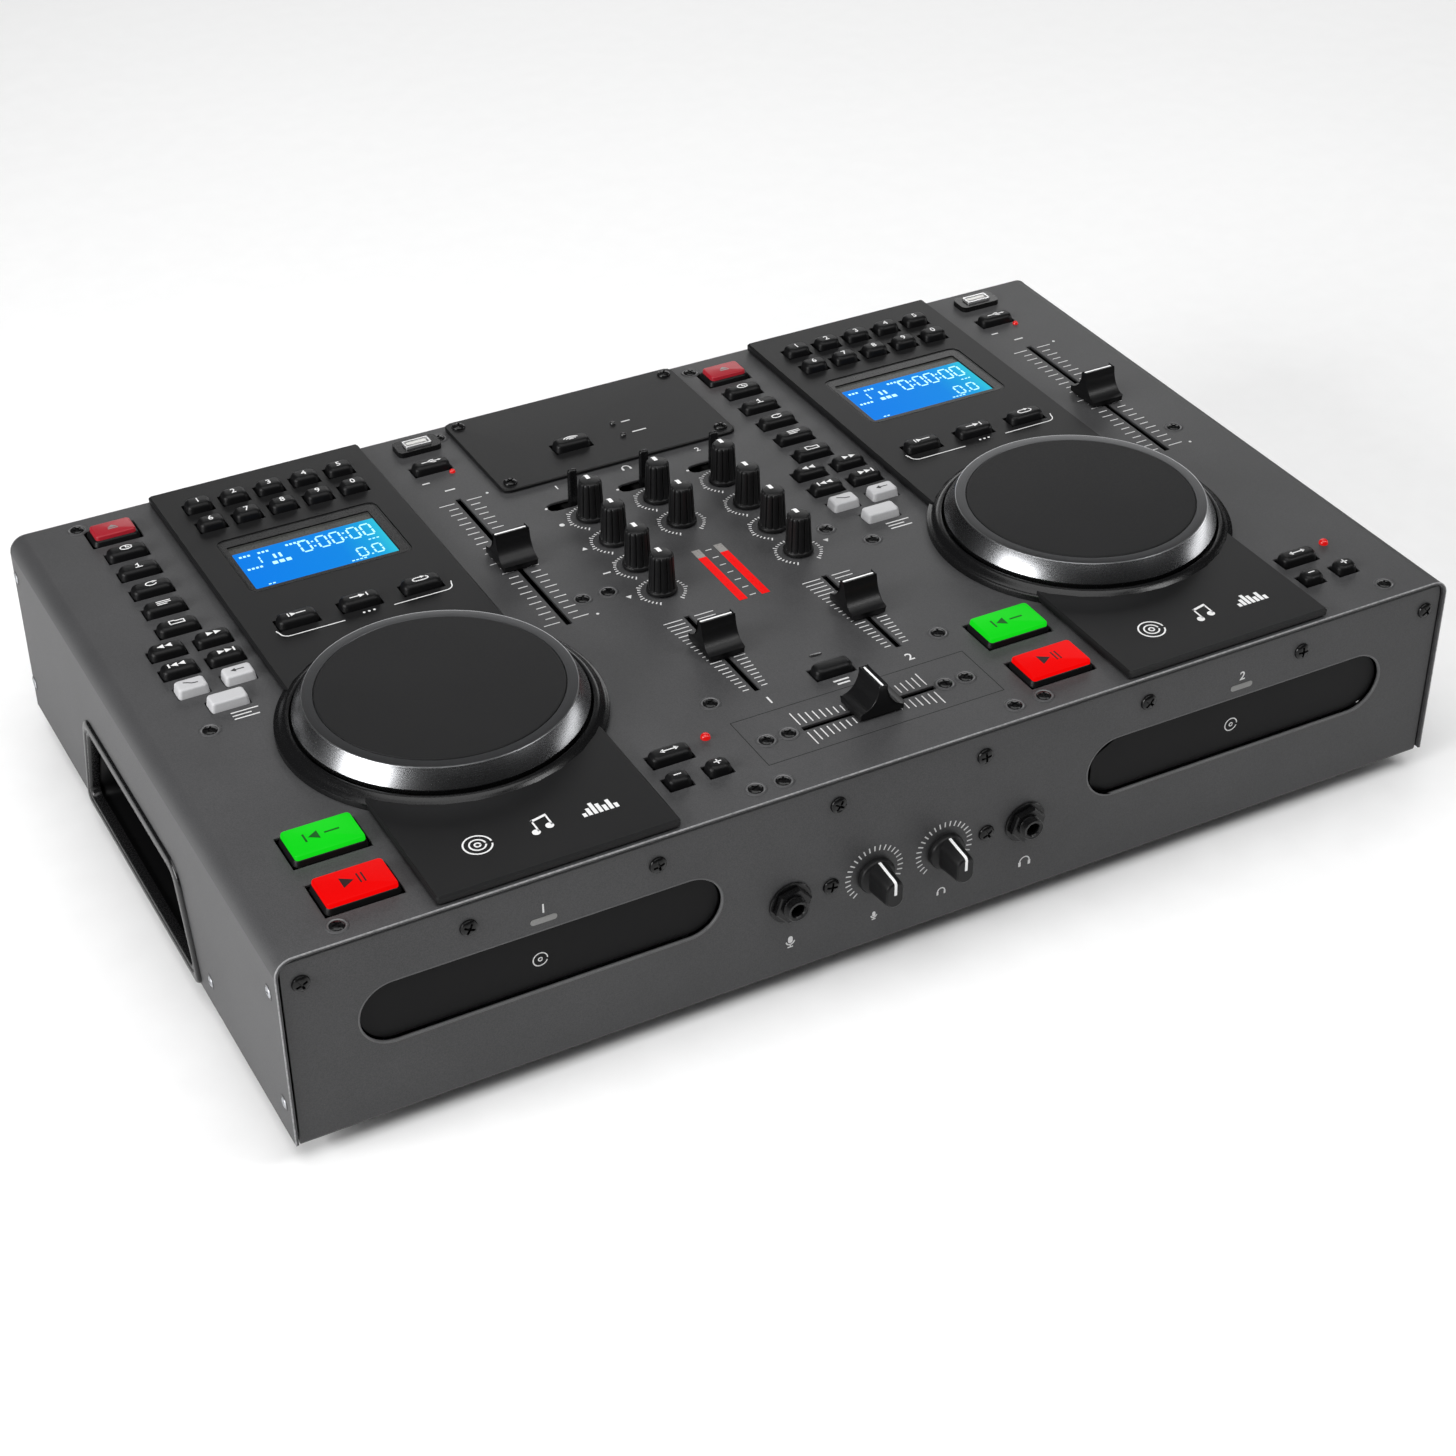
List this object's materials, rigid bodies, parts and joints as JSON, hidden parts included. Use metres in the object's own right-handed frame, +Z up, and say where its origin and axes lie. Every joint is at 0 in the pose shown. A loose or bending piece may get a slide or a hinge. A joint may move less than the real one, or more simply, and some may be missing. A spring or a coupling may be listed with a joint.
{
  "type": "dual disc player and mixer console",
  "caption": "Table-top console with two disc decks, each with a drawer, jog wheel and display, and a mixer with knobs and faders between them.",
  "frame": {"origin": "centre of the object's plan, on the surface that its feet stand on", "axes": "+X to the right as the user sees it, +Y to the rear, +Z up"},
  "size_m": [0.6, 0.3954, 0.1338],
  "materials": {
    "steel_paint": "charcoal powder coat with a fine grain",
    "panel_black": "satin black moulding",
    "key_black": "glossy black moulding",
    "knob_black": "satin black moulding with ribs",
    "socket_black": "black moulding",
    "jog_metal": "metal-coloured rim round a matt dark disc",
    "drive_steel": "zinc-plated steel",
    "cue_green": "clear green cap, lit, in a black base",
    "play_red": "clear red cap, lit, in a black base",
    "eject_red": "dull red cap in a black base",
    "display_blue": "lit blue display behind a clear window",
    "foot_rubber": "black rubber"
  },
  "bodies": {
    "console": {"top_cover": "steel_paint", "base_chassis": "steel_paint", "handle_cup_left": "socket_black", "foot_front_left": "foot_rubber", "foot_rear_left": "foot_rubber", "deck_panel_left": "panel_black", "display_left": "display_blue", "usb_port_left": "socket_black", "disc_drive_left": "drive_steel", "handle_cup_right": "socket_black", "foot_front_right": "foot_rubber", "foot_rear_right": "foot_rubber", "deck_panel_right": "panel_black", "display_right": "display_blue", "usb_port_right": "socket_black", "disc_drive_right": "drive_steel", "receiver_panel": "panel_black", "microphone_jack": "socket_black", "headphone_jack": "socket_black", "phono_socket_block": "socket_black", "mains_inlet": "socket_black"},
    "channel_fader_left": {"channel_fader_left": "knob_black"},
    "channel_fader_right": {"channel_fader_right": "knob_black"},
    "crossfader": {"crossfader": "knob_black"},
    "cue_button_left": {"cue_button_left": "cue_green"},
    "cue_button_right": {"cue_button_right": "cue_green"},
    "disc_tray_left": {"disc_tray_left": "panel_black"},
    "disc_tray_right": {"disc_tray_right": "panel_black"},
    "eject_button_left": {"eject_button_left": "eject_red"},
    "eject_button_right": {"eject_button_right": "eject_red"},
    "fader_start_button": {"fader_start_button": "key_black"},
    "headphone_knob": {"headphone_knob": "knob_black"},
    "jog_wheel_left": {"jog_wheel_left": "jog_metal"},
    "jog_wheel_right": {"jog_wheel_right": "jog_metal"},
    "knob_centre_1": {"knob_centre_1": "knob_black"},
    "knob_centre_2": {"knob_centre_2": "knob_black"},
    "knob_left_1": {"knob_left_1": "knob_black"},
    "knob_left_2": {"knob_left_2": "knob_black"},
    "knob_left_3": {"knob_left_3": "knob_black"},
    "knob_left_4": {"knob_left_4": "knob_black"},
    "knob_right_1": {"knob_right_1": "knob_black"},
    "knob_right_2": {"knob_right_2": "knob_black"},
    "knob_right_3": {"knob_right_3": "knob_black"},
    "knob_right_4": {"knob_right_4": "knob_black"},
    "microphone_knob": {"microphone_knob": "knob_black"},
    "panel_keys_left": {"panel_keys_left": "key_black"},
    "panel_keys_right": {"panel_keys_right": "key_black"},
    "pitch_fader_left": {"pitch_fader_left": "knob_black"},
    "pitch_fader_right": {"pitch_fader_right": "knob_black"},
    "pitch_keys_left": {"pitch_keys_left": "key_black"},
    "pitch_keys_right": {"pitch_keys_right": "key_black"},
    "play_button_left": {"play_button_left": "play_red"},
    "play_button_right": {"play_button_right": "play_red"},
    "power_rocker": {"power_rocker": "key_black"},
    "receiver_button": {"receiver_button": "key_black"},
    "selector_lever_centre": {"selector_lever_centre": "knob_black"},
    "selector_lever_left": {"selector_lever_left": "knob_black"},
    "selector_lever_right": {"selector_lever_right": "knob_black"},
    "transport_keys_left": {"transport_keys_left": "key_black"},
    "transport_keys_right": {"transport_keys_right": "key_black"}
  },
  "joints": [
    {"name": "jog_spin_left", "type": "hinge", "parent": "console", "child": "jog_wheel_left", "pos_m": [-0.1715, -0.05385, 0.1123], "axis": [0, 0, 1], "continuous": true},
    {"name": "tray_slide_left", "type": "slide", "parent": "console", "child": "disc_tray_left", "axis": [0, -1, 0], "range_m": [0, 0.134]},
    {"name": "pitch_slide_left", "type": "slide", "parent": "console", "child": "pitch_fader_left", "axis": [0, 1, 0], "range_m": [-0.0615, 0.0615]},
    {"name": "panel_keys_press_left", "type": "slide", "parent": "console", "child": "panel_keys_left", "axis": [0, 0, -1], "range_m": [0, 0.0008], "stiffness_N_per_m": 600, "springref_m": -0.0015},
    {"name": "transport_keys_press_left", "type": "slide", "parent": "console", "child": "transport_keys_left", "axis": [0, 0, -1], "range_m": [0, 0.0008], "stiffness_N_per_m": 600, "springref_m": -0.0015},
    {"name": "pitch_keys_press_left", "type": "slide", "parent": "console", "child": "pitch_keys_left", "axis": [0, 0, -1], "range_m": [0, 0.0008], "stiffness_N_per_m": 600, "springref_m": -0.0015},
    {"name": "cue_press_left", "type": "slide", "parent": "console", "child": "cue_button_left", "axis": [0, 0, -1], "range_m": [0, 0.001], "stiffness_N_per_m": 400, "springref_m": -0.0015},
    {"name": "play_press_left", "type": "slide", "parent": "console", "child": "play_button_left", "axis": [0, 0, -1], "range_m": [0, 0.001], "stiffness_N_per_m": 400, "springref_m": -0.0015},
    {"name": "eject_press_left", "type": "slide", "parent": "console", "child": "eject_button_left", "axis": [0, 0, -1], "range_m": [0, 0.001], "stiffness_N_per_m": 400, "springref_m": -0.0015},
    {"name": "jog_spin_right", "type": "hinge", "parent": "console", "child": "jog_wheel_right", "pos_m": [0.1715, -0.05385, 0.1123], "axis": [0, 0, 1], "continuous": true},
    {"name": "tray_slide_right", "type": "slide", "parent": "console", "child": "disc_tray_right", "axis": [0, -1, 0], "range_m": [0, 0.134]},
    {"name": "pitch_slide_right", "type": "slide", "parent": "console", "child": "pitch_fader_right", "axis": [0, 1, 0], "range_m": [-0.0615, 0.0615]},
    {"name": "panel_keys_press_right", "type": "slide", "parent": "console", "child": "panel_keys_right", "axis": [0, 0, -1], "range_m": [0, 0.0008], "stiffness_N_per_m": 600, "springref_m": -0.0015},
    {"name": "transport_keys_press_right", "type": "slide", "parent": "console", "child": "transport_keys_right", "axis": [0, 0, -1], "range_m": [0, 0.0008], "stiffness_N_per_m": 600, "springref_m": -0.0015},
    {"name": "pitch_keys_press_right", "type": "slide", "parent": "console", "child": "pitch_keys_right", "axis": [0, 0, -1], "range_m": [0, 0.0008], "stiffness_N_per_m": 600, "springref_m": -0.0015},
    {"name": "cue_press_right", "type": "slide", "parent": "console", "child": "cue_button_right", "axis": [0, 0, -1], "range_m": [0, 0.001], "stiffness_N_per_m": 400, "springref_m": -0.0015},
    {"name": "play_press_right", "type": "slide", "parent": "console", "child": "play_button_right", "axis": [0, 0, -1], "range_m": [0, 0.001], "stiffness_N_per_m": 400, "springref_m": -0.0015},
    {"name": "eject_press_right", "type": "slide", "parent": "console", "child": "eject_button_right", "axis": [0, 0, -1], "range_m": [0, 0.001], "stiffness_N_per_m": 400, "springref_m": -0.0015},
    {"name": "channel_slide_left", "type": "slide", "parent": "console", "child": "channel_fader_left", "axis": [0, 1, 0], "range_m": [-0.03655, 0.02595]},
    {"name": "channel_slide_right", "type": "slide", "parent": "console", "child": "channel_fader_right", "axis": [0, 1, 0], "range_m": [-0.03475, 0.02775]},
    {"name": "crossfader_slide", "type": "slide", "parent": "console", "child": "crossfader", "axis": [1, 0, 0], "range_m": [-0.0322, 0.0288]},
    {"name": "knob_turn_centre_1", "type": "hinge", "parent": "console", "child": "knob_centre_1", "pos_m": [0, 0.06965, 0.1123], "axis": [0, 0, 1], "range_deg": [-150, 150]},
    {"name": "knob_turn_centre_2", "type": "hinge", "parent": "console", "child": "knob_centre_2", "pos_m": [0, 0.04365, 0.1123], "axis": [0, 0, 1], "range_deg": [-150, 150]},
    {"name": "knob_turn_left_1", "type": "hinge", "parent": "console", "child": "knob_left_1", "pos_m": [-0.0375, 0.06965, 0.1123], "axis": [0, 0, 1], "range_deg": [-150, 150]},
    {"name": "knob_turn_left_2", "type": "hinge", "parent": "console", "child": "knob_left_2", "pos_m": [-0.0375, 0.04365, 0.1123], "axis": [0, 0, 1], "range_deg": [-150, 150]},
    {"name": "knob_turn_left_3", "type": "hinge", "parent": "console", "child": "knob_left_3", "pos_m": [-0.0375, 0.01765, 0.1123], "axis": [0, 0, 1], "range_deg": [-150, 150]},
    {"name": "knob_turn_left_4", "type": "hinge", "parent": "console", "child": "knob_left_4", "pos_m": [-0.0375, -0.00835, 0.1123], "axis": [0, 0, 1], "range_deg": [-150, 150]},
    {"name": "knob_turn_right_1", "type": "hinge", "parent": "console", "child": "knob_right_1", "pos_m": [0.0375, 0.06965, 0.1123], "axis": [0, 0, 1], "range_deg": [-150, 150]},
    {"name": "knob_turn_right_2", "type": "hinge", "parent": "console", "child": "knob_right_2", "pos_m": [0.0375, 0.04365, 0.1123], "axis": [0, 0, 1], "range_deg": [-150, 150]},
    {"name": "knob_turn_right_3", "type": "hinge", "parent": "console", "child": "knob_right_3", "pos_m": [0.0375, 0.01765, 0.1123], "axis": [0, 0, 1], "range_deg": [-150, 150]},
    {"name": "knob_turn_right_4", "type": "hinge", "parent": "console", "child": "knob_right_4", "pos_m": [0.0375, -0.00835, 0.1123], "axis": [0, 0, 1], "range_deg": [-150, 150]},
    {"name": "microphone_turn", "type": "hinge", "parent": "console", "child": "microphone_knob", "pos_m": [-0.0185, -0.17885, 0.0513], "axis": [0, -1, 0], "range_deg": [-150, 150]},
    {"name": "headphone_turn", "type": "hinge", "parent": "console", "child": "headphone_knob", "pos_m": [0.0185, -0.17885, 0.0513], "axis": [0, -1, 0], "range_deg": [-150, 150]},
    {"name": "selector_slide_left", "type": "slide", "parent": "console", "child": "selector_lever_left", "axis": [1, 0, 0], "range_m": [-0.011, 0]},
    {"name": "selector_slide_centre", "type": "slide", "parent": "console", "child": "selector_lever_centre", "axis": [1, 0, 0], "range_m": [-0.011, 0]},
    {"name": "selector_slide_right", "type": "slide", "parent": "console", "child": "selector_lever_right", "axis": [1, 0, 0], "range_m": [-0.011, 0]},
    {"name": "receiver_press", "type": "slide", "parent": "console", "child": "receiver_button", "axis": [0, 0, -1], "range_m": [0, 0.0008], "stiffness_N_per_m": 400, "springref_m": -0.0015},
    {"name": "fader_start_press", "type": "slide", "parent": "console", "child": "fader_start_button", "axis": [0, 0, -1], "range_m": [0, 0.0008], "stiffness_N_per_m": 400, "springref_m": -0.0015},
    {"name": "power_rock", "type": "hinge", "parent": "console", "child": "power_rocker", "pos_m": [0.22, 0.18815, 0.0723], "axis": [1, 0, 0], "range_deg": [-16, 0]}
  ]
}
